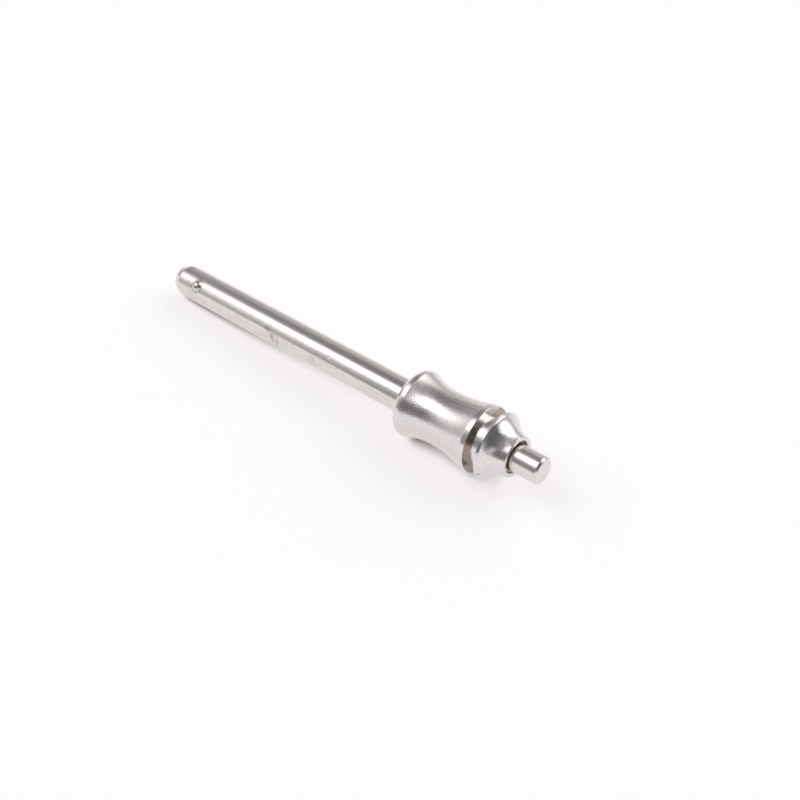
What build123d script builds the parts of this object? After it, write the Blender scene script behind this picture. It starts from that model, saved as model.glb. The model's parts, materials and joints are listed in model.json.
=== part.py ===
from build123d import *
from math import atan2, cos, radians, sin, tan
import os

os.makedirs("parts", exist_ok=True)

# Ball lock pin, single acting: pressing the button lets two balls sink into the shank.
# Lengths run along the pin from the handle's front shoulder, plus towards the button.

# Shank
shank_r = 6.35 / 2          # nominal quarter inch
grip_length = 52.5          # full-diameter length that a clamped stack can use
ball_margin = 1.4           # end of the grip to the ball centres
tip_reach = 6.55            # ball centres to the tip
nose_length = 1.53          # bevel at the tip
nose_drop = 0.58            # of the bevel, on the radius
lead_drop = 0.035           # lead-in taper between grip and bevel, on the radius
nose_edge = 0.3             # rounding of the tip
spigot_step = 0.325         # spigot over shank, on the radius
spigot_length = 9.0         # pressed into the handle
spigot_bevel = 0.3

# Balls, seats and staking
ball_r = 2.38 / 2           # 3/32 inch
ball_roll = 46.0            # degrees from straight up, towards -Y
ball_depth = 0.475          # centre below the shank's surface when locked
flush_depth = 0.085         # top of the ball below the surface when released
ball_gap = 0.03             # running clearance in the seat
ball_lift = 0.05            # clearance between ball and spindle
stake_gap = 0.03            # wall left between seat and staking mark
stake_width = 0.1
stake_depth = 0.17

# Spindle
travel = 3.0                # button stroke
spindle_gap = 0.08          # running clearance in the shank's bore
spindle_nose = 1.6          # land ahead of the ball centres
recess_floor = 0.5          # floor behind the deepest ball position
spindle_bevel = 0.3
end_room = 0.3              # bore left ahead of the spindle when pressed
drill_angle = 59.0          # half angle of the drill point
tail_r = 1.0                # pressed into the button
tail_length = 4.3

# Handle
rim_r = 6.25                # all three rims
front_bevel_length = 0.85
front_bevel_drop = 0.64
front_land = 0.78
waist_length = 13.36
waist_lead = 5.72           # front land to the narrowest place
waist_depth = 1.18
rear_land = 0.94
groove_width = 2.34         # for a lanyard or split ring
groove_depth = 1.43
flange_width = 0.6
flange_drop = 0.15
neck_length = 3.93
neck_arc_r = 5.8
neck_wall = 0.785           # round the opening at the end of the neck
mouth_gap = 0.485           # between that opening and the button
lip_thickness = 1.6
rim_break = 0.12            # edge breaks
groove_break = 0.15
neck_break = 0.2
mouth_break = 0.12

# Button
button_r = 2.5
button_out = 5.35           # stands out of the handle when locked
button_bevel = 0.25
button_flange = 1.5
flange_gap = 0.05           # running clearance in the handle's bore

# Return spring
wire_r = 0.3
wire_flats = 8              # section of the wire, drawn with flats to keep a hidden piece light
coil_gap = 0.75             # between the coils and the handle's bore
coil_count = 6.5

# Stations along the pin
front_land_end = front_bevel_length + front_land
waist_station = front_land_end + waist_lead
waist_end = front_land_end + waist_length
groove_start = waist_end + rear_land
groove_end = groove_start + groove_width
flange_end = groove_end + flange_width
handle_length = flange_end + neck_length
lip_front = handle_length - lip_thickness
flange_front = lip_front - button_flange
button_end = handle_length + button_out
ball_station = grip_length + ball_margin
shank_length = ball_station + tip_reach
bevel_start = nose_length - shank_length

# Radii that follow from the shank, the button and the rims
edge_r = shank_r - lead_drop
nose_r = edge_r - nose_drop
spigot_r = shank_r + spigot_step
waist_r = rim_r - waist_depth
groove_r = rim_r - groove_depth
mouth_r = button_r + mouth_gap
neck_end_r = mouth_r + neck_wall
coil_r = spigot_r - coil_gap - wire_r

# Spindle sizes that follow from where the balls have to be
ball_out = shank_r - ball_depth
ball_in = shank_r - ball_r - flush_depth
land_r = ball_out - ball_r - ball_lift
recess_r = ball_in - ball_r - ball_lift
bore_r = land_r + spindle_gap
spindle_tip = -ball_station - spindle_nose
bore_end = spindle_tip - travel - end_room
drill_point = bore_end - bore_r / tan(radians(drill_angle))
ramp_end = travel - ball_station
floor_end = ramp_end + recess_floor
recess_end = floor_end + land_r - recess_r

# The pin lies on its front rim and on the edge of its nose, so its axis leans.
lean = atan2(rim_r - edge_r, front_bevel_length - bevel_start)
axis_height = rim_r * cos(lean) - front_bevel_length * sin(lean)
axis_shift = (shank_length - button_end) / 2 * cos(lean)
section = Plane(
    origin=(axis_shift, 0, axis_height),
    x_dir=(cos(lean), 0, sin(lean)),
    z_dir=(0, -1, 0),
)
pin_axis = Axis(section.origin, section.x_dir)
roll = radians(ball_roll)
ball_way = section.y_dir * cos(roll) + section.z_dir * sin(roll)
ball_cross = Plane(
    origin=section.from_local_coords((-ball_station, 0, 0)),
    x_dir=section.x_dir,
    z_dir=ball_way,
)
seat_r = ball_r + ball_gap
stake_r = seat_r + stake_gap

# Handle: one turned piece, bored from the front up to a lip at the button's end
with BuildPart() as handle:
    with BuildSketch(section) as handle_half:
        with BuildLine():
            Line((0, spigot_r), (0, rim_r - front_bevel_drop))
            Line((0, rim_r - front_bevel_drop), (front_bevel_length, rim_r))
            Line((front_bevel_length, rim_r), (front_land_end, rim_r))
            TangentArc((waist_station, waist_r), (front_land_end, rim_r), tangent=(-1, 0))
            TangentArc((waist_station, waist_r), (waist_end, rim_r), tangent=(1, 0))
            Line((waist_end, rim_r), (groove_start, rim_r))
            Line((groove_start, rim_r), (groove_start, groove_r))
            Line((groove_start, groove_r), (groove_end, groove_r))
            Line((groove_end, groove_r), (groove_end, rim_r))
            Line((groove_end, rim_r), (flange_end, rim_r - flange_drop))
            RadiusArc((flange_end, rim_r - flange_drop), (handle_length, neck_end_r), -neck_arc_r)
            Line((handle_length, neck_end_r), (handle_length, mouth_r))
            Line((handle_length, mouth_r), (lip_front, mouth_r))
            Line((lip_front, mouth_r), (lip_front, spigot_r))
            Line((lip_front, spigot_r), (0, spigot_r))
        make_face()
        breaks = [
            ((front_bevel_length, rim_r), rim_break),
            ((front_land_end, rim_r), rim_break),
            ((waist_end, rim_r), rim_break),
            ((groove_start, rim_r), rim_break),
            ((groove_start, groove_r), groove_break),
            ((groove_end, groove_r), groove_break),
            ((groove_end, rim_r), rim_break),
            ((flange_end, rim_r - flange_drop), rim_break),
            ((handle_length, neck_end_r), neck_break),
            ((handle_length, mouth_r), mouth_break),
        ]
        for corner, size in breaks:
            chamfer(handle_half.vertices().sort_by_distance(corner)[0], size)
    revolve(axis=pin_axis)
handle.part.label = "handle"
export_step(handle.part, "parts/handle.step")

# Ring marks left by staking the seats, following the round of the shank
with BuildPart() as stake_marks:
    with BuildSketch(ball_cross):
        Circle(stake_r + stake_width)
        Circle(stake_r, mode=Mode.SUBTRACT)
    extrude(amount=2 * shank_r, both=True)
    with BuildSketch(Plane(origin=ball_cross.origin, z_dir=section.x_dir)):
        Circle(shank_r - stake_depth)
    extrude(amount=2 * shank_r, both=True, mode=Mode.SUBTRACT)

# Shank: drilled from the rear, with a cross hole whose ends close in to hold the balls
with BuildPart() as shank:
    with BuildSketch(section) as shank_half:
        with BuildLine():
            Polyline(
                (spigot_length, bore_r),
                (spigot_length, spigot_r - spigot_bevel),
                (spigot_length - spigot_bevel, spigot_r),
                (0, spigot_r),
                (0, shank_r),
                (-grip_length, shank_r),
                (bevel_start, edge_r),
                (-shank_length, nose_r),
                (-shank_length, 0),
                (drill_point, 0),
                (bore_end, bore_r),
                close=True,
            )
        make_face()
        fillet(shank_half.vertices().sort_by_distance((-shank_length, nose_r))[0], nose_edge)
    revolve(axis=pin_axis)
    with BuildSketch(ball_cross):
        Circle(seat_r)
    extrude(amount=ball_out, both=True, mode=Mode.SUBTRACT)
    seat_centres = [ball_cross.origin + ball_way * ball_out, ball_cross.origin - ball_way * ball_out]
    with Locations(*seat_centres):
        Sphere(seat_r, mode=Mode.SUBTRACT)
    add(stake_marks.part, mode=Mode.SUBTRACT)
shank.part.label = "shank"
export_step(shank.part, "parts/shank.step")

# Spindle: the ramp drops as far over the stroke as the balls have to sink
with BuildPart() as spindle:
    with BuildSketch(section):
        with BuildLine():
            Polyline(
                (spindle_tip, 0),
                (spindle_tip, land_r - spindle_bevel),
                (spindle_tip + spindle_bevel, land_r),
                (-ball_station, land_r),
                (ramp_end, recess_r),
                (floor_end, recess_r),
                (recess_end, land_r),
                (flange_front, land_r),
                (flange_front, tail_r),
                (flange_front + tail_length, tail_r),
                (flange_front + tail_length, 0),
                close=True,
            )
        make_face()
    revolve(axis=pin_axis)
spindle.part.label = "spindle"
export_step(spindle.part, "parts/spindle.step")

# Button: its flange runs in the handle's bore and stops on the lip
with BuildPart() as button:
    with BuildSketch(section):
        with BuildLine():
            Polyline(
                (flange_front, tail_r),
                (flange_front, spigot_r - flange_gap),
                (lip_front, spigot_r - flange_gap),
                (lip_front, button_r),
                (button_end - button_bevel, button_r),
                (button_end, button_r - button_bevel),
                (button_end, 0),
                (flange_front + tail_length, 0),
                (flange_front + tail_length, tail_r),
                close=True,
            )
        make_face()
    revolve(axis=pin_axis)
button.part.label = "button"
export_step(button.part, "parts/button.step")

# Locking balls
with BuildPart() as ball_front:
    with Locations(ball_cross.origin + ball_way * ball_out):
        Sphere(ball_r)
ball_front.part.label = "ball_front"
export_step(ball_front.part, "parts/ball_front.step")

with BuildPart() as ball_back:
    with Locations(ball_cross.origin - ball_way * ball_out):
        Sphere(ball_r)
ball_back.part.label = "ball_back"
export_step(ball_back.part, "parts/ball_back.step")

# Return spring: both ends ground flat, from the shank's rear end to the button
spring_length = flange_front - spigot_length
coil_pitch = spring_length / coil_count
spring_base = Plane(
    origin=section.from_local_coords((spigot_length, 0, 0)),
    z_dir=section.x_dir,
)
with BuildPart() as spring:
    with BuildLine() as coil:
        Helix(coil_pitch, spring_length, coil_r, center=spring_base.origin, direction=section.x_dir)
    with BuildSketch(Plane(origin=coil.line @ 0, z_dir=coil.line % 0)):
        RegularPolygon(wire_r, wire_flats)
    sweep(path=coil.line, is_frenet=True)
    split(bisect_by=spring_base, keep=Keep.TOP)
    split(bisect_by=spring_base.offset(spring_length), keep=Keep.BOTTOM)
spring.part.label = "spring"
export_step(spring.part, "parts/spring.step")
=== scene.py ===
import json
from math import atan2, cos, hypot, pi, radians, sin, sqrt, tan

import bmesh
import bpy
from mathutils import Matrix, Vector


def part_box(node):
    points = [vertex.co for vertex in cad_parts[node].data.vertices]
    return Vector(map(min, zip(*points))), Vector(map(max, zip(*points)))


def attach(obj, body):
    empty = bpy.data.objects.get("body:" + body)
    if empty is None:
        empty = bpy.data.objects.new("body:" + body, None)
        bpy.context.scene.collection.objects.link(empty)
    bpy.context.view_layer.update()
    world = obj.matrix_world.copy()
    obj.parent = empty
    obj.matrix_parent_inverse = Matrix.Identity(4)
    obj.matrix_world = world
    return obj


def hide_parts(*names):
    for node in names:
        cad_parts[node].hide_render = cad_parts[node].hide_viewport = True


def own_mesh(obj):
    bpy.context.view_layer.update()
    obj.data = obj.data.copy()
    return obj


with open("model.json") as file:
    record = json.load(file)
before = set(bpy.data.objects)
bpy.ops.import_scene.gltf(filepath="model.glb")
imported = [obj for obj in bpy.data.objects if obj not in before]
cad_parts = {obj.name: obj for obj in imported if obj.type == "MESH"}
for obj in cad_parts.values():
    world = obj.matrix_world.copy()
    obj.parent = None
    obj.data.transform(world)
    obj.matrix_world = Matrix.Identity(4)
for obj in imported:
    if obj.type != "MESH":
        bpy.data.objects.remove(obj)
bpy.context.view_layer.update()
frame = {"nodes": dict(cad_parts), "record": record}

# The pin's own axes: along it from the handle's shoulder towards the button, upright and to the side.
MM = 0.001
mounts = {mount["name"]: mount for mount in frame["record"]["mounts"]}
grip = mounts["shank"]
along = -Vector(grip["axis"])
shoulder = Vector(grip["pos_m"]) + along * (grip["dims"]["length_mm"] / 2 * MM)
side = Vector((0, -1, 0))
upright = side.cross(along)
lean = atan2(along.z, along.x)

# Radii in millimetres from the axis
shank_r = grip["dims"]["r_mm"]
rim_r = 6.25            # all three rims
waist_r = 5.07
groove_r = 4.82
neck_end_r = 3.77
spigot_r = 3.5          # the handle's bore
mouth_r = 2.985
button_r = 2.5
bevel_r = rim_r - 0.64  # foot of the front bevel
flange_r = rim_r - 0.15
button_flange_r = spigot_r - 0.05
neck_arc_r = 5.8        # the neck's hollow

# Stations in millimetres along the pin from the shoulder
bevel_end = 0.85
land_end = 1.63
waist = 7.35
waist_end = 14.99
groove_start = 15.93
groove_end = 18.27
flange_end = 18.87
neck_end = 22.8
lip_front = 21.2
flange_front = 19.7
button_end = 28.15

# Bevels and eased corners in millimetres
edge = 0.12             # of every rim
shoulder_edge = 0.06
groove_edge = 0.05
neck_edge = 0.2
mouth_edge = 0.28
button_bevel = 0.38
button_edge = 0.08
flange_edge = 0.1

# Return spring
spring_front = 9.0      # the shank's rear end
coil_r = 2.45
wire_r = 0.3
coil_count = 6.5

ROUND = 192             # facets round a turned piece
COIL_STEPS = 48         # facets along a turn of the spring
MERGE = 0.0005 * MM     # corners closer than this are one

# Spans of a pattern's values
NOISE = (0.3, 0.7)      # nearly all of a noise
MASK = (0, 1)           # a mask as it is


def at(station, radius):
    """A place on the pin's upper half section."""
    return shoulder + along * (station * MM) + upright * (radius * MM)


def centre_of(start, end, radius):
    """Centre of an arc between two places of the half section, on the outer side of its chord."""
    middle = ((start[0] + end[0]) / 2, (start[1] + end[1]) / 2)
    run, rise = end[0] - start[0], end[1] - start[1]
    chord = hypot(run, rise)
    out = sqrt(radius**2 - chord**2 / 4)
    return middle[0] - rise / chord * out, middle[1] + run / chord * out


def centre_over(bottom, end):
    """Centre of an arc that is level at its bottom and runs up to an end."""
    run, rise = end[0] - bottom[0], end[1] - bottom[1]
    return bottom[0], bottom[1] + (run**2 + rise**2) / (2 * rise)


def straight(bm, tip, station, radius):
    """Draws a straight run of the half section."""
    new = bmesh.ops.extrude_vert_indiv(bm, verts=[tip])["verts"][0]
    new.co = at(station, radius)
    return new


def arc(bm, tip, station, radius, centre, steps=28):
    """Draws a run of the half section that curves round a centre."""
    local = tip.co - shoulder
    start = atan2(local.dot(upright) / MM - centre[1], local.dot(along) / MM - centre[0])
    end = atan2(radius - centre[1], station - centre[0])
    turn = (end - start + pi) % (2 * pi) - pi
    swept = bmesh.ops.spin(bm, geom=[tip], cent=at(*centre), axis=side, angle=turn, steps=steps)
    return next(v for v in swept["geom_last"] if isinstance(v, bmesh.types.BMVert))


def hold_ends(bm, near=0.04):
    """Adds a point close to both ends of each long run, so that smooth shading stays on the corners."""
    for line in bm.edges[:]:
        length = line.calc_length() / MM
        if length > 6 * near:
            start, end = line.verts
            _, held = bmesh.utils.edge_split(line, start, near / length)
            rest = next(e for e in held.link_edges if end in e.verts)
            bmesh.utils.edge_split(rest, end, near / (length - near))


def closed_up(bm):
    """Merges doubles and turns every face outwards."""
    bmesh.ops.remove_doubles(bm, verts=bm.verts[:], dist=MERGE)
    bmesh.ops.recalc_face_normals(bm, faces=bm.faces[:])


def turned(start, runs, closed=False):
    """Draws a half section, eases its corners and spins it round the pin's axis.

    Each run is a station, a radius, the easing of that corner and the centre if the run is an arc.
    """
    bm = bmesh.new()
    tip = first = bm.verts.new(at(*start))
    corners = []
    for station, radius, ease, centre in runs:
        if centre:
            tip = arc(bm, tip, station, radius, centre)
        else:
            tip = straight(bm, tip, station, radius)
        if ease:
            corners.append((tip, ease))
    if closed:
        bm.edges.new((tip, first))
    for corner, ease in corners:
        bmesh.ops.bevel(
            bm,
            geom=[corner],
            offset=ease * MM,
            offset_type="OFFSET",
            affect="VERTICES",
            segments=5,
            profile=0.5,
            material=-1,
        )
    hold_ends(bm)
    bmesh.ops.spin(
        bm,
        geom=bm.verts[:] + bm.edges[:],
        cent=shoulder,
        axis=along,
        angle=2 * pi,
        steps=ROUND,
        use_merge=True,
    )
    closed_up(bm)
    return bm


def edges_of(geom):
    """The edges among mixed mesh elements."""
    return [element for element in geom if isinstance(element, bmesh.types.BMEdge)]


def wound(start, end, radius, wire, turns):
    """Winds a coil of round wire round the pin's axis and grinds both its ends flat."""
    rise = (end - start) / turns * MM
    way = side * (2 * pi * radius * MM) + along * rise
    section = way.to_track_quat("Z", "Y").to_matrix().to_4x4()
    section.translation = at(start, radius)
    bm = bmesh.new()
    bmesh.ops.create_circle(bm, cap_ends=True, radius=wire * MM, segments=16, matrix=section)
    coil = bmesh.ops.spin(
        bm,
        geom=bm.verts[:] + bm.edges[:],
        cent=shoulder,
        axis=along,
        dvec=along * (rise / COIL_STEPS),
        angle=2 * pi * turns,
        steps=int(COIL_STEPS * turns),
    )
    bmesh.ops.contextual_create(bm, geom=edges_of(coil["geom_last"]))
    for station, outward in ((start, -along), (end, along)):
        cut = bmesh.ops.bisect_plane(
            bm,
            geom=bm.verts[:] + bm.edges[:] + bm.faces[:],
            dist=MERGE,
            plane_co=at(station, 0),
            plane_no=outward,
            clear_outer=True,
        )
        bmesh.ops.contextual_create(bm, geom=edges_of(cut["geom_cut"]))
    closed_up(bm)
    return bm


def ball_in(low, high):
    """A ball that fills a box."""
    bm = bmesh.new()
    bmesh.ops.create_icosphere(bm, subdivisions=5, radius=(high.z - low.z) / 2)
    bmesh.ops.translate(bm, verts=bm.verts[:], vec=(low + high) / 2)
    return bm


def give(bm, finish_of):
    """Gives each face the finish that belongs to its station and radius."""
    for face in bm.faces:
        local = face.calc_center_median() - shoulder
        station = local.dot(along)
        face.material_index = finish_of(station / MM, (local - along * station).length / MM)


def piece(bm, name, body, slot, *materials):
    """Turns a finished bmesh into a piece of the pin that rides on a body."""
    mesh = bpy.data.meshes.new(name)
    for face in bm.faces:
        face.smooth = True
    bm.to_mesh(mesh)
    bm.free()
    for material in materials:
        mesh.materials.append(material)
    made = bpy.data.objects.new(name, mesh)
    bpy.context.scene.collection.objects.link(made)
    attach(made, body)
    return made


def linear(hexed):
    """An sRGB hex colour as linear light."""
    values = [int(hexed[i : i + 2], 16) / 255 for i in (1, 3, 5)]
    return [v / 12.92 if v <= 0.04045 else ((v + 0.055) / 1.055) ** 2.4 for v in values] + [1]


def add(tree, kind, inputs=(), **settings):
    """Adds a node with its settings, and sets or links its inputs."""
    made = tree.nodes.new(kind)
    for name, value in settings.items():
        setattr(made, name, value)
    for socket, value in dict(inputs).items():
        if isinstance(value, bpy.types.NodeSocket):
            tree.links.new(value, made.inputs[socket])
        else:
            made.inputs[socket].default_value = value
    return made


def metal(name):
    """A bare metal; returns its material, tree and shader, and the pin's own millimetres as a vector."""
    made = bpy.data.materials.new(name)
    made.use_nodes = True
    tree = made.node_tree
    shader = tree.nodes["Principled BSDF"]
    shader.inputs["Metallic"].default_value = 1.0
    place = add(tree, "ShaderNodeTexCoord").outputs["Object"]
    pin_space = {"Vector": place, "Location": shoulder, "Rotation": (0, -lean, 0)}
    metres = add(tree, "ShaderNodeMapping", pin_space, vector_type="TEXTURE").outputs[0]
    mm = add(tree, "ShaderNodeVectorMath", {0: metres, "Scale": 1 / MM}, operation="SCALE")
    return made, tree, shader, mm.outputs[0]


def rolled(tree, mm, radius):
    """The pin's millimetres with every point moved out to one radius, so that lines follow a curved side."""
    across = add(tree, "ShaderNodeVectorMath", {0: mm, 1: (0, 1, 1)}, operation="MULTIPLY").outputs[0]
    out = add(tree, "ShaderNodeVectorMath", {0: across}, operation="NORMALIZE").outputs[0]
    on_roll = add(tree, "ShaderNodeVectorMath", {0: out, "Scale": radius}, operation="SCALE").outputs[0]
    length = add(tree, "ShaderNodeVectorMath", {0: mm, 1: (1, 0, 0)}, operation="MULTIPLY").outputs[0]
    return add(tree, "ShaderNodeVectorMath", {0: on_roll, 1: length}, operation="ADD").outputs[0]


def marks(tree, mm, pitch, detail=3):
    """Noise whose pitch is given in millimetres: along the pin, to its side and upright."""
    fine = [1 / p for p in pitch]
    scaled = add(tree, "ShaderNodeVectorMath", {0: mm, 1: fine}, operation="MULTIPLY").outputs[0]
    inputs = {"Vector": scaled, "Scale": 1.0, "Detail": detail, "Roughness": 0.6}
    return add(tree, "ShaderNodeTexNoise", inputs).outputs["Fac"]


def spot(tree, mm, station, angle, radius, size):
    """1 in a small round spot, placed by its station, its angle from upright towards -Y and its radius."""
    a = radians(angle)
    centre = (station, -radius * sin(a), radius * cos(a))
    away = add(tree, "ShaderNodeVectorMath", {0: mm, 1: centre}, operation="DISTANCE").outputs["Value"]
    fade = {"Value": away, "From Min": size / 2, "From Max": size, "To Min": 1, "To Max": 0}
    return add(tree, "ShaderNodeMapRange", fade, interpolation_type="SMOOTHSTEP").outputs["Result"]


def patch(tree, mm, **ranges):
    """1 within ranges of the pin's millimetres, where X is the station, Y is across and Z is up.

    Each range is a low end, a high end and half the width of the fade at both.
    """
    places = add(tree, "ShaderNodeSeparateXYZ", {0: mm}).outputs
    fades = []
    for axis, (low, high, soft) in ranges.items():
        for end, before, after in ((low, 0, 1), (high, 1, 0)):
            fade = {"Value": places[axis], "From Min": end - soft, "From Max": end + soft}
            fade.update({"To Min": before, "To Max": after})
            fades.append(add(tree, "ShaderNodeMapRange", fade, interpolation_type="SMOOTHSTEP"))
    mask = fades[0].outputs["Result"]
    for fade in fades[1:]:
        both = {0: mask, 1: fade.outputs["Result"]}
        mask = add(tree, "ShaderNodeMath", both, operation="MULTIPLY").outputs[0]
    return mask


def broken(tree, mask, pattern, span, left=(0, 1)):
    """Breaks up a mask with a pattern; left is how much stays at both ends of the pattern's span."""
    inputs = {"Value": pattern, "From Min": span[0], "From Max": span[1]}
    inputs.update({"To Min": left[0], "To Max": left[1]})
    part = add(tree, "ShaderNodeMapRange", inputs).outputs["Result"]
    return add(tree, "ShaderNodeMath", {0: mask, 1: part}, operation="MULTIPLY").outputs[0]


def laid(tree, under, over, pattern, span=NOISE, most=1):
    """Lays one colour over another where a pattern shows; the two colours are inputs 6 and 7 of the mix."""
    inputs = {"Value": pattern, "From Min": span[0], "From Max": span[1], "To Max": most}
    cover = add(tree, "ShaderNodeMapRange", inputs).outputs["Result"]
    return add(tree, "ShaderNodeMix", {0: cover, 6: under, 7: over}, data_type="RGBA").outputs[2]


def coated(tree, shader, colour, *hazes):
    """Gives a metal its colour, and a roughness that is the sum of its hazes.

    Each haze is a pattern, the span of the pattern's values and the roughness at both ends of it.
    """
    tree.links.new(colour, shader.inputs["Base Color"])
    roughness = None
    for pattern, span, (low, high) in hazes:
        inputs = {"Value": pattern, "From Min": span[0], "From Max": span[1], "To Min": low, "To Max": high}
        haze = add(tree, "ShaderNodeMapRange", inputs).outputs["Result"]
        if roughness:
            haze = add(tree, "ShaderNodeMath", {0: roughness, 1: haze}, operation="ADD").outputs[0]
        roughness = haze
    tree.links.new(roughness, shader.inputs["Roughness"])


def bumped(tree, shader, *heights):
    """Raises the surface by patterns, each with its depth in millimetres."""
    normal = None
    for height, depth in heights:
        inputs = {"Height": height, "Distance": depth * MM, "Strength": 1.0}
        if normal:
            inputs["Normal"] = normal
        normal = add(tree, "ShaderNodeBump", inputs).outputs[0]
    tree.links.new(normal, shader.inputs["Normal"])


# Stainless steel, turned and then bead blasted: the beads leave a satin skin of shallow dents, so that
# highlights have broken edges and dark reflections sparkle. Real dents are under 0.1 mm across, too fine to
# show, so they are drawn as grain and specks of 0.22 and 0.34 mm. The rubbed hairlines are as fine, and are
# drawn 0.22 mm apart.
def blasted_stainless():
    made, tree, shader, mm = metal("bead_blasted_stainless")
    grain = marks(tree, mm, (0.22, 0.22, 0.22), detail=1)
    specks = marks(tree, mm, (0.34, 0.34, 0.34), detail=2)
    patches = marks(tree, mm, (2.6, 2.6, 2.6), detail=2)
    lines = marks(tree, rolled(tree, mm, 5.6), (14.0, 0.22, 0.22), detail=2)
    # fingers and cloths have rubbed hairlines along the top, most of all at the rear
    top = patch(tree, mm, X=(7.5, 16.0, 2.5), Y=(-1.5, 4.5, 1.0), Z=(3.0, 7.0, 0.5))
    rubbed = broken(tree, top, lines, (0.48, 0.6))
    hairlines = broken(tree, rubbed, lines, MASK)
    colour = laid(tree, linear("#D9D3D3"), linear("#EAE4E2"), grain)
    colour = laid(tree, colour, linear("#9E9796"), specks, (0.66, 0.74), 0.4)
    colour = laid(tree, colour, linear("#8E8786"), rubbed, MASK, 0.55)
    coated(tree, shader, colour, (patches, NOISE, (0.1, 0.15)), (specks, (0.42, 0.66), (0, 0.16)))
    bumped(tree, shader, (grain, 0.018), (specks, 0.012), (hairlines, 0.01))
    return made


# Stainless steel, finish turned: bright, with rings from the tool's fine feed and a slight unevenness that
# breaks up the edges of reflections. The feed is about 0.05 mm a turn, too fine to show, so it is drawn as
# 0.09 mm.
def turned_stainless():
    made, tree, shader, mm = metal("fine_turned_stainless")
    rings = marks(tree, mm, (0.09, 2.5, 2.5), detail=2)
    grain = marks(tree, mm, (0.3, 0.3, 0.3), detail=2)
    patches = marks(tree, mm, (1.8, 1.8, 1.8), detail=2)
    # a few scratches by the mouth, where a finger presses the button, and one dark pit on the flange
    by_mouth = patch(tree, mm, X=(21.0, 22.0, 0.25), Y=(-3.9, -2.7, 0.3), Z=(1.9, 2.9, 0.3))
    scratched = broken(tree, by_mouth, rings, (0.57, 0.62))
    pit = spot(tree, mm, 19.0, 108, 6.0, 0.32)
    colour = laid(tree, linear("#D8D3D3"), linear("#EAE5E3"), grain)
    colour = laid(tree, colour, linear("#F4F2F1"), scratched, MASK)
    colour = laid(tree, colour, linear("#5E5552"), pit, MASK, 0.6)
    coated(tree, shader, colour, (patches, NOISE, (0.08, 0.13)), (grain, (0.44, 0.68), (0, 0.1)))
    bumped(tree, shader, (rings, 0.0008), (grain, 0.018))
    return made


# Stainless steel on the groove's front wall, plunge turned and never polished: duller than the rims, with
# painted shade that darkens it brown all round but for the top, and a darker brown patch. The tool's rings
# are about
# 0.05 mm apart, too fine to show, so they are drawn 0.12 mm apart.
def groove_stainless():
    made, tree, shader, mm = metal("turned_stainless_with_painted_shade")
    rings = marks(tree, mm, (0.12, 2.5, 2.5), detail=2)
    stain = marks(tree, mm, (0.9, 0.9, 0.9))
    # painted shade: below its top the wall is darkened to brown grey, where it lies in shade
    painted_shade_below_top = patch(tree, mm, Z=(-9.0, 4.6, 0.5))
    # a darker brown patch on the wall, broken up by noise
    brown_patch = broken(tree, spot(tree, mm, groove_start, 47, 5.2, 2.2), stain, NOISE, (1, 0.4))
    colour = laid(tree, linear("#C9C4C1"), linear("#D8D4D1"), stain)
    colour = laid(tree, colour, linear("#9B9088"), painted_shade_below_top, MASK, 0.85)
    colour = laid(tree, colour, linear("#7E6757"), brown_patch, MASK)
    coated(tree, shader, colour, (stain, NOISE, (0.2, 0.12)))
    bumped(tree, shader, (rings, 0.001))
    return made


# Stainless steel inside the handle, as the boring tool leaves it: coarse rings 0.15 mm apart, which make the
# reflections round the button dull and soft
def bored_stainless():
    made, tree, shader, mm = metal("as_bored_stainless")
    rings = marks(tree, mm, (0.15, 3.0, 3.0), detail=2)
    colour = laid(tree, linear("#DDD5CF"), linear("#E8E2DD"), rings)
    coated(tree, shader, colour, (rings, NOISE, (0.36, 0.26)))
    bumped(tree, shader, (rings, 0.004))
    return made


# Hardened stainless steel, centreless ground: near mirror bright, with long clean highlights, faint rings
# from the wheel and a haze of handling. The wheel's marks are some 0.02 mm apart, too fine to show, so they
# are drawn 0.14 mm apart. Streaks, mottle and scuffs have their real size.
def ground_stainless():
    made, tree, shader, mm = metal("centreless_ground_stainless")
    rings = marks(tree, mm, (0.14, 4.0, 4.0))
    mottle = marks(tree, mm, (1.5, 0.7, 0.7))
    streaks = marks(tree, mm, (5.0, 0.35, 0.35))
    scuffs = marks(tree, mm, (0.32, 3.0, 3.0))
    # a rubbed dark smear half way along, as a tight hole leaves it, with a thumb mark beside it
    rub = patch(tree, mm, X=(-32.8, -30.6, 0.3), Y=(-4.0, -1.6, 0.3), Z=(-2.2, 1.3, 0.4))
    smear = broken(tree, rub, scuffs, (0.5, 0.6))
    thumb = broken(tree, spot(tree, mm, -33.5, 54, shank_r, 1.0), mottle, (0.38, 0.56), (0.2, 1))
    # a fainter mark and a small bright nick nearer the handle
    faint = broken(tree, spot(tree, mm, -22.0, 94, shank_r, 1.6), scuffs, (0.45, 0.6))
    nick = spot(tree, mm, -18.1, 46, shank_r, 0.3)
    colour = laid(tree, linear("#DED8D6"), linear("#E8E2E0"), rings)
    colour = laid(tree, colour, linear("#C2BAB9"), streaks, (0.5, 0.75), 0.45)
    colour = laid(tree, colour, linear("#B4ACAC"), mottle, (0.54, 0.74), 0.45)
    colour = laid(tree, colour, linear("#988A87"), smear, MASK, 0.85)
    colour = laid(tree, colour, linear("#93827F"), thumb, MASK, 0.5)
    colour = laid(tree, colour, linear("#A69B98"), faint, MASK, 0.4)
    colour = laid(tree, colour, linear("#FFFFFF"), nick, MASK)
    coated(tree, shader, colour, (mottle, NOISE, (0.1, 0.18)), (nick, MASK, (0, 0.7)))
    bumped(tree, shader, (rings, 0.0008), (nick, -0.05))
    return made


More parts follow.
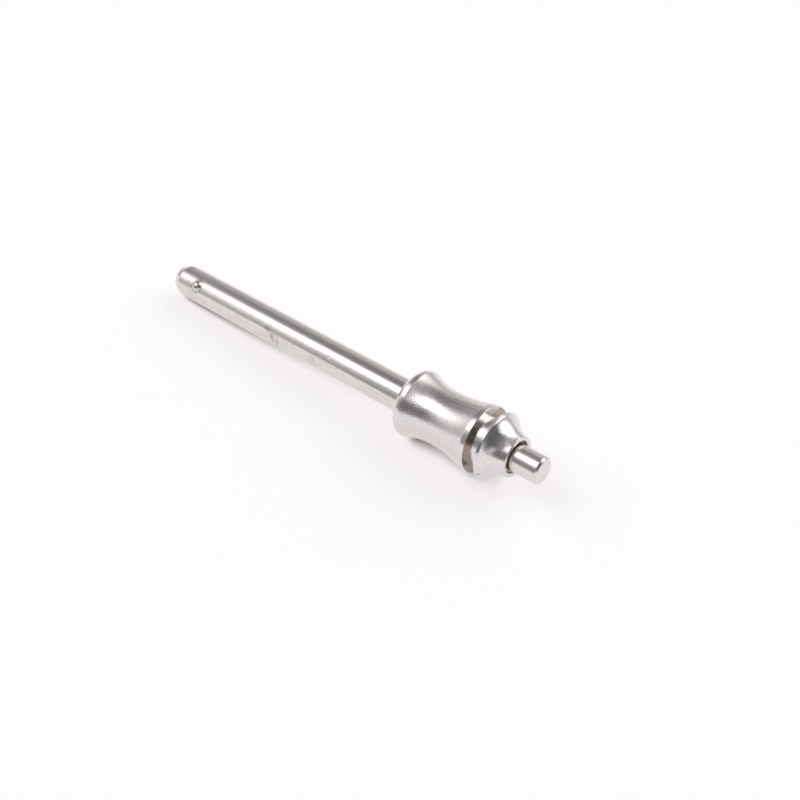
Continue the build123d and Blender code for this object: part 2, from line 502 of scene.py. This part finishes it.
# Stainless steel button and spindle, ground round and faced: finer than the handle, but dulled by thumbs, so
# that its highlights are softer than the shank's. The wheel's marks are drawn 0.14 mm apart here too.
def button_stainless():
    made, tree, shader, mm = metal("ground_and_faced_stainless")
    rings = marks(tree, mm, (0.14, 4.0, 4.0))
    grain = marks(tree, mm, (0.3, 0.3, 0.3), detail=2)
    patches = marks(tree, mm, (1.2, 1.2, 1.2))
    colour = laid(tree, linear("#DCD6D5"), linear("#E8E2E0"), grain)
    coated(tree, shader, colour, (patches, NOISE, (0.17, 0.26)))
    bumped(tree, shader, (rings, 0.0008), (grain, 0.008))
    return made


# Chrome steel ball, lapped: a clean mirror, with only a thin haze of grease in spots half a millimetre wide
def ball_steel():
    made, tree, shader, mm = metal("lapped_ball_steel")
    haze = marks(tree, mm, (0.5, 0.5, 0.5))
    colour = laid(tree, linear("#D0C8C5"), linear("#DAD1CF"), haze)
    coated(tree, shader, colour, (haze, NOISE, (0.05, 0.12)))
    return made


# Stainless spring wire, cold drawn: grey and half dull, mottled by drawing soap in spots as wide as the wire
def spring_steel():
    made, tree, shader, mm = metal("drawn_spring_wire")
    mottle = marks(tree, mm, (0.3, 0.3, 0.3))
    colour = laid(tree, linear("#A6A19C"), linear("#BDB8B3"), mottle)
    coated(tree, shader, colour, (mottle, NOISE, (0.28, 0.4)))
    bumped(tree, shader, (mottle, 0.002))
    return made


blasted = blasted_stainless()
bright = turned_stainless()
shaded_wall = groove_stainless()
ground = ground_stainless()
bored = bored_stainless()
faced = button_stainless()
lapped = ball_steel()
drawn = spring_steel()

# Handle: blasted waist, bright rims and neck, a groove wall with painted shade and a brown patch, and an
# as-bored inside
BLASTED, BRIGHT, SHADED_WALL, BORED = range(4)


def handle_finish(station, radius):
    """The finish of the handle at a station and radius."""
    slack = 0.01        # keeps faces on a corner on the right side of it
    if land_end < station < waist_end:
        return BLASTED
    # the wall's finish reaches round the eased corner at its foot, so that its painted shade also dims the
    # bright line there
    on_wall = groove_r - slack < radius < rim_r - edge - slack
    if on_wall and abs(station - groove_start) < groove_edge + slack:
        return SHADED_WALL
    in_mouth = radius < mouth_r + slack / 2
    in_bore = 0.1 < station < neck_end and radius < spigot_r + slack / 2
    return BORED if in_mouth or in_bore else BRIGHT


waist_front = centre_over((waist, waist_r), (land_end, rim_r))
waist_rear = centre_over((waist, waist_r), (waist_end, rim_r))
neck_centre = centre_of((flange_end, flange_r), (neck_end, neck_end_r), neck_arc_r)
bm = turned(
    (0, spigot_r),
    (
        (0, bevel_r, shoulder_edge, None),
        (bevel_end, rim_r, edge, None),
        (land_end, rim_r, edge, None),
        (waist, waist_r, 0, waist_front),
        (waist_end, rim_r, edge, waist_rear),
        (groove_start, rim_r, edge, None),
        (groove_start, groove_r, groove_edge, None),
        (groove_end, groove_r, groove_edge, None),
        (groove_end, rim_r, edge, None),
        (flange_end, flange_r, edge, None),
        (neck_end, neck_end_r, neck_edge, neck_centre),
        (neck_end, mouth_r, mouth_edge, None),
        (lip_front, mouth_r, 0, None),
        (lip_front, spigot_r, 0, None),
    ),
    closed=True,
)
give(bm, handle_finish)
handle = piece(bm, "handle_turned", "housing", "blasted_stainless", blasted, bright, shaded_wall, bored)
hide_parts("handle")

# Button: faced where it shows, as turned on its flange inside
FACED, AS_TURNED = range(2)
bm = turned(
    (flange_front, 0),
    (
        (flange_front, button_flange_r, flange_edge, None),
        (lip_front, button_flange_r, flange_edge, None),
        (lip_front, button_r, 0, None),
        (button_end - button_bevel, button_r, button_edge, None),
        (button_end, button_r - button_bevel, button_edge, None),
        (button_end, 0, 0, None),
    ),
)
give(bm, lambda station, radius: AS_TURNED if station < lip_front + 0.3 else FACED)
button = piece(bm, "button_turned", "plunger", "ground_stainless", faced, bored)
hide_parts("button")

# Locking balls
for node, body in (("ball_front", "front_ball"), ("ball_back", "back_ball")):
    ball = piece(ball_in(*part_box(node)), node + "_lapped", body, "polished_ball_steel", lapped)
    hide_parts(node)

# Return spring: round wire from the shank's rear end to the button's flange
bm = wound(spring_front, flange_front, coil_r, wire_r, coil_count)
spring = piece(bm, "spring_wound", "housing", "spring_wire", drawn)
spring.data.set_sharp_from_angle(angle=radians(50))
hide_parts("spring")
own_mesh(spring)

# Shank and spindle keep their solids and get their finish
for node, finish in (("shank", ground), ("spindle", faced)):
    mesh = frame["nodes"][node].data
    mesh.materials.clear()
    mesh.materials.append(finish)

# Floor: matt white card. The camera and the metal see it lit to white, with the pin's soft shadow and a warm
# dark shadow close under it that is painted into its glow, and to all other light it is a plain pale surface.
card = bpy.data.materials.new("matt_white_card")
card.use_nodes = True
tree = card.node_tree
tree.nodes.clear()
ray = add(tree, "ShaderNodeLightPath").outputs
seen = ray["Is Camera Ray"]
for kind in ("Is Glossy Ray", "Is Transmission Ray"):
    seen = add(tree, "ShaderNodeMath", {0: seen, 1: ray[kind]}, operation="ADD").outputs[0]
plain = add(tree, "ShaderNodeBsdfDiffuse", {"Color": linear("#F7F3F3")}).outputs[0]
shaded = add(tree, "ShaderNodeBsdfDiffuse", {"Color": linear("#A8B1B1")}).outputs[0]
# painted shadow: the glow turns warm dark brown where the pin hides the card from the sky within 5 mm
open_sky = add(tree, "ShaderNodeAmbientOcclusion", {"Distance": 5 * MM}, samples=16).outputs["AO"]
glow_with_painted_shadow = laid(tree, linear("#50281C"), linear("#D7CFD0"), open_sky, (0.17, 0.38))
white = add(tree, "ShaderNodeEmission", {"Color": glow_with_painted_shadow, "Strength": 1.0}).outputs[0]
lit = add(tree, "ShaderNodeAddShader", {0: shaded, 1: white}).outputs[0]
both = add(tree, "ShaderNodeMixShader", {0: seen, 1: plain, 2: lit}).outputs[0]
add(tree, "ShaderNodeOutputMaterial", {"Surface": both})
FLOOR_REACH = 6         # metres each way
bm = bmesh.new()
bmesh.ops.create_grid(bm, x_segments=1, y_segments=1, size=FLOOR_REACH)
mesh = bpy.data.meshes.new("floor")
bm.to_mesh(mesh)
bm.free()
mesh.materials.append(card)
floor = bpy.data.objects.new("floor", mesh)
bpy.context.scene.collection.objects.link(floor)

# Studio: a pale room, brighter overhead, with soft-edged panels hung round the pin. Dark flags put the dark
# bands in the metal, softboxes its highlights and cards its paler greys. A later panel covers an earlier one.
# Walls: sine of the elevation, level
WALLS = ((0.0, 0.6), (0.25, 0.57), (0.6, 1.262), (1.0, 1.199))
# Panels: azimuth and elevation of the middle, half width, half height, softness of the sides, softness of
# the top and bottom, all in degrees, then level and tint
PANELS = {
    "left_flag": (-126, 54, 27, 42, 16, 16, 0.43, "#FFFFFF"),
    "left_flag_middle": (-130, 51, 17, 14, 14, 14, 0.26, "#F8F8FF"),
    "left_card": (-148, 15, 11, 10, 8, 8, 0.66, "#FFF8F6"),
    "high_right_flag": (75, 58, 30, 24, 11, 16, 0.27, "#F8F8FF"),
    "middle_flag": (42, 50, 18, 14, 12, 12, 0.32, "#F8F8FF"),
    "right_flag": (97, 34, 43, 24, 14, 14, 0.16, "#F8F8FF"),
    "front_flag": (0, 25, 34, 20, 15, 9, 0.22, "#F8F8FF"),
    "high_card": (-3, 59, 7, 6, 8, 9, 1.2, "#FFFFFF"),
    "key_softbox": (-48, 56.5, 17, 15.5, 12, 13, 2.7, "#FFFFFF"),
    "key_flag": (-18, 40, 20, 6, 10, 6, 0.3, "#FFFFFF"),
    "rear_softbox": (149, 38.5, 18, 17.5, 15, 13, 2.7, "#FFFFFF"),
}
GLANCING = 0.02         # keeps directions behind a panel off it


def toward(azimuth, elevation):
    """The direction to a place in the room: azimuth 0 is towards -Y and 90 towards +X."""
    a, e = radians(azimuth), radians(elevation)
    return Vector((sin(a) * cos(e), -cos(a) * cos(e), sin(e)))


def hang(tree, way, light, panel):
    """Hangs a soft-edged panel in the room's light."""
    azimuth, elevation, half_width, half_height, soft_side, soft_top, level, tint = panel
    facing = toward(azimuth, elevation)
    level_line = Vector((cos(radians(azimuth)), sin(radians(azimuth)), 0))
    depth = add(tree, "ShaderNodeVectorMath", {0: way, 1: facing}, operation="DOT_PRODUCT")
    depth = add(tree, "ShaderNodeMath", {0: depth.outputs["Value"], 1: GLANCING}, operation="MAXIMUM")
    mask = None
    for axis, half, soft in (
        (level_line, half_width, soft_side),
        (facing.cross(level_line), half_height, soft_top),
    ):
        reach, fade = tan(radians(half)), tan(radians(soft))
        offset = add(tree, "ShaderNodeVectorMath", {0: way, 1: axis}, operation="DOT_PRODUCT")
        offset = add(tree, "ShaderNodeMath", {0: offset.outputs["Value"]}, operation="ABSOLUTE")
        slope = add(tree, "ShaderNodeMath", {0: offset.outputs[0], 1: depth.outputs[0]}, operation="DIVIDE")
        inputs = {"Value": slope.outputs[0], "From Min": reach + fade, "From Max": reach - fade}
        within = add(tree, "ShaderNodeMapRange", inputs, interpolation_type="SMOOTHSTEP").outputs["Result"]
        if mask:
            within = add(tree, "ShaderNodeMath", {0: mask, 1: within}, operation="MULTIPLY").outputs[0]
        mask = within
    colour = [level * part for part in linear(tint)[:3]] + [1]
    return add(tree, "ShaderNodeMix", {0: mask, 6: light, 7: colour}, data_type="RGBA").outputs[2]


world = bpy.data.worlds.new("studio")
bpy.context.scene.world = world
world.use_nodes = True
tree = world.node_tree
tree.nodes.clear()
way = add(tree, "ShaderNodeTexCoord").outputs["Generated"]
height = add(tree, "ShaderNodeSeparateXYZ", {0: way}).outputs["Z"]
walls = add(tree, "ShaderNodeValToRGB", {0: height})
stops = walls.color_ramp.elements
for place, level in WALLS[1:-1]:
    stops.new(place)
for stop, (place, level) in zip(stops, WALLS):
    stop.color = (level, level, level, 1)
light = walls.outputs["Color"]
for panel in PANELS.values():
    light = hang(tree, way, light, panel)
back = add(tree, "ShaderNodeBackground", {"Color": light, "Strength": 1.0}).outputs[0]
add(tree, "ShaderNodeOutputWorld", {"Surface": back})

# Camera: looks down on the button's end from the front, with its aim and distance in millimetres
AIM = Vector((14.2826, -1.4044, 6.3635))
DISTANCE = 214.89
sight = toward(41.09, 42.90)
data = bpy.data.cameras.new("camera")
data.lens = 55.14
data.sensor_width = 36
data.clip_start = 0.01
data.clip_end = 20
camera = bpy.data.objects.new("camera", data)
camera.rotation_mode = "QUATERNION"
camera.location = (AIM + sight * DISTANCE) * MM
camera.rotation_quaternion = (-sight).to_track_quat("-Z", "Y")
bpy.context.scene.collection.objects.link(camera)
bpy.context.scene.camera = camera
bpy.context.scene.view_settings.view_transform = "Standard"
